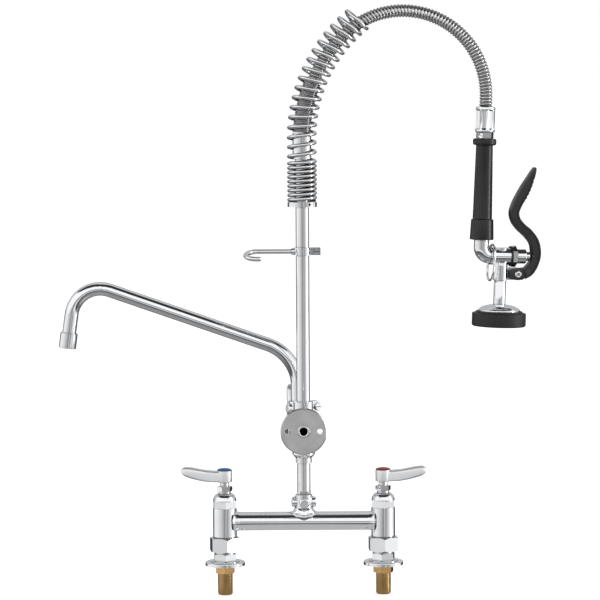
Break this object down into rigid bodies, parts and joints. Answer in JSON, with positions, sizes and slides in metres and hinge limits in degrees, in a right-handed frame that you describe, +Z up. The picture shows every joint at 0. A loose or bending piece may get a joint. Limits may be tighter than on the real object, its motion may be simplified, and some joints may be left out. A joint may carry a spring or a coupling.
{
  "type": "pre rinse faucet",
  "caption": "Deck-mounted pre-rinse faucet with lever valves, riser, spring-guided overhead hose, squeeze spray valve, swing spout and wall bracket.",
  "frame": {"origin": "on top of the deck, midway between the two supply legs", "axes": "+Z up, +X along the bridge from the cold leg to the hot leg, +Y towards the user, -Y towards the wall"},
  "size_m": [0.622, 0.2969, 0.7537],
  "materials": {
    "chrome": "polished chrome plate",
    "brass": "machined raw brass",
    "plated_casting": "chrome plate with a matte grey back",
    "stainless_hose": "corrugated stainless steel",
    "spring_steel": "chrome-plated spring wire",
    "grip_rubber": "black moulded grip with a fine texture",
    "lever_plastic": "dark grey moulded plastic",
    "black_rubber": "black moulded rubber",
    "blue_cap": "blue index cap",
    "red_cap": "red index cap",
    "plain_cap": "plain chrome index cap",
    "aerator_plastic": "grey moulded flow insert",
    "spray_face_steel": "perforated steel face"
  },
  "bodies": {
    "base": {"bridge_body": "chrome", "cold_shank": "brass", "cold_locknut": "brass", "cold_flange": "chrome", "cold_adapter": "chrome", "cold_union_nut": "chrome", "cold_bonnet": "chrome", "cold_packing_nut": "chrome", "hot_shank": "brass", "hot_locknut": "brass", "hot_flange": "chrome", "hot_adapter": "chrome", "hot_union_nut": "chrome", "hot_bonnet": "chrome", "hot_packing_nut": "chrome", "lug_nut": "chrome", "lower_nipple": "chrome", "add_on_body": "chrome", "spout_nut": "chrome", "spout_bonnet": "chrome", "spout_packing_nut": "chrome", "riser": "chrome", "bracket_clamp": "chrome", "bracket_screw": "chrome", "bracket_tube": "chrome", "wall_flange": "plated_casting", "hook_clamp": "chrome", "hook_screw": "chrome", "hook_rod": "chrome", "spring_collar": "chrome", "riser_coupling": "chrome"},
    "cold_handle": {"cold_stem": "chrome", "cold_lever": "chrome", "cold_index_cap": "blue_cap"},
    "hot_handle": {"hot_stem": "chrome", "hot_lever": "chrome", "hot_index_cap": "red_cap"},
    "spout_handle": {"spout_stem": "chrome", "spout_lever": "chrome", "spout_index_cap": "plain_cap"},
    "swing_spout": {"spout_tube": "chrome", "aerator_shell": "chrome", "aerator_insert": "aerator_plastic"},
    "overhead": {"overhead_spring": "spring_steel", "hose_sleeve": "stainless_hose", "hose": "stainless_hose", "hose_ferrule": "chrome"},
    "spray_valve": {"hose_nut": "chrome", "grip": "grip_rubber", "elbow": "chrome", "spray_body": "chrome", "valve_gasket": "black_rubber", "valve_bonnet": "chrome", "pivot_screw": "chrome", "spray_head": "chrome", "spray_face": "spray_face_steel", "bumper": "black_rubber"},
    "trigger": {"squeeze_lever": "lever_plastic"},
    "valve_plunger": {"plunger": "chrome"},
    "hold_down_ring": {"hold_ring": "chrome"}
  },
  "joints": [
    {"name": "cold_turn", "type": "hinge", "parent": "base", "child": "cold_handle", "pos_m": [-0.1016, 0, 0.11], "axis": [0, 0, 1], "range_deg": [-90, 0]},
    {"name": "hot_turn", "type": "hinge", "parent": "base", "child": "hot_handle", "pos_m": [0.1016, 0, 0.11], "axis": [0, 0, 1], "range_deg": [0, 90]},
    {"name": "spout_valve_turn", "type": "hinge", "parent": "base", "child": "spout_handle", "pos_m": [0, 0, 0.164], "axis": [-0.1219, 0.9925, 0], "range_deg": [0, 90]},
    {"name": "spout_swing", "type": "hinge", "parent": "base", "child": "swing_spout", "pos_m": [-0.007, 0.05697, 0.19], "axis": [0, 0, 1], "range_deg": [-165, 45]},
    {"name": "overhead_swing", "type": "hinge", "parent": "base", "child": "overhead", "pos_m": [0, 0, 0.55], "axis": [0, 0, 1], "range_deg": [-30, 140]},
    {"name": "spray_swivel", "type": "hinge", "parent": "overhead", "child": "spray_valve", "pos_m": [0.23257, 0, 0.55332], "axis": [0.0314, 0, 0.9995], "continuous": true},
    {"name": "trigger_squeeze", "type": "hinge", "parent": "spray_valve", "child": "trigger", "pos_m": [0.27297, 0.00979, 0.37216], "axis": [0.2078, -0.9781, -0.0065], "range_deg": [0, 11.4], "stiffness_Nm_per_rad": 4, "springref_deg": -8.59},
    {"name": "plunger_slide", "type": "slide", "parent": "spray_valve", "child": "valve_plunger", "axis": [-0.9777, -0.2079, 0.0307], "range_m": [0, 0.0049]},
    {"name": "ring_swing", "type": "hinge", "parent": "spray_valve", "child": "hold_down_ring", "pos_m": [0.24132, 0.00291, 0.39567], "axis": [0.9777, 0.2079, -0.0307], "range_deg": [-80, 80]}
  ],
  "couplings": [
    {"joint": "plunger_slide", "follows": "trigger_squeeze", "m_per_rad": 0.0225}
  ]
}
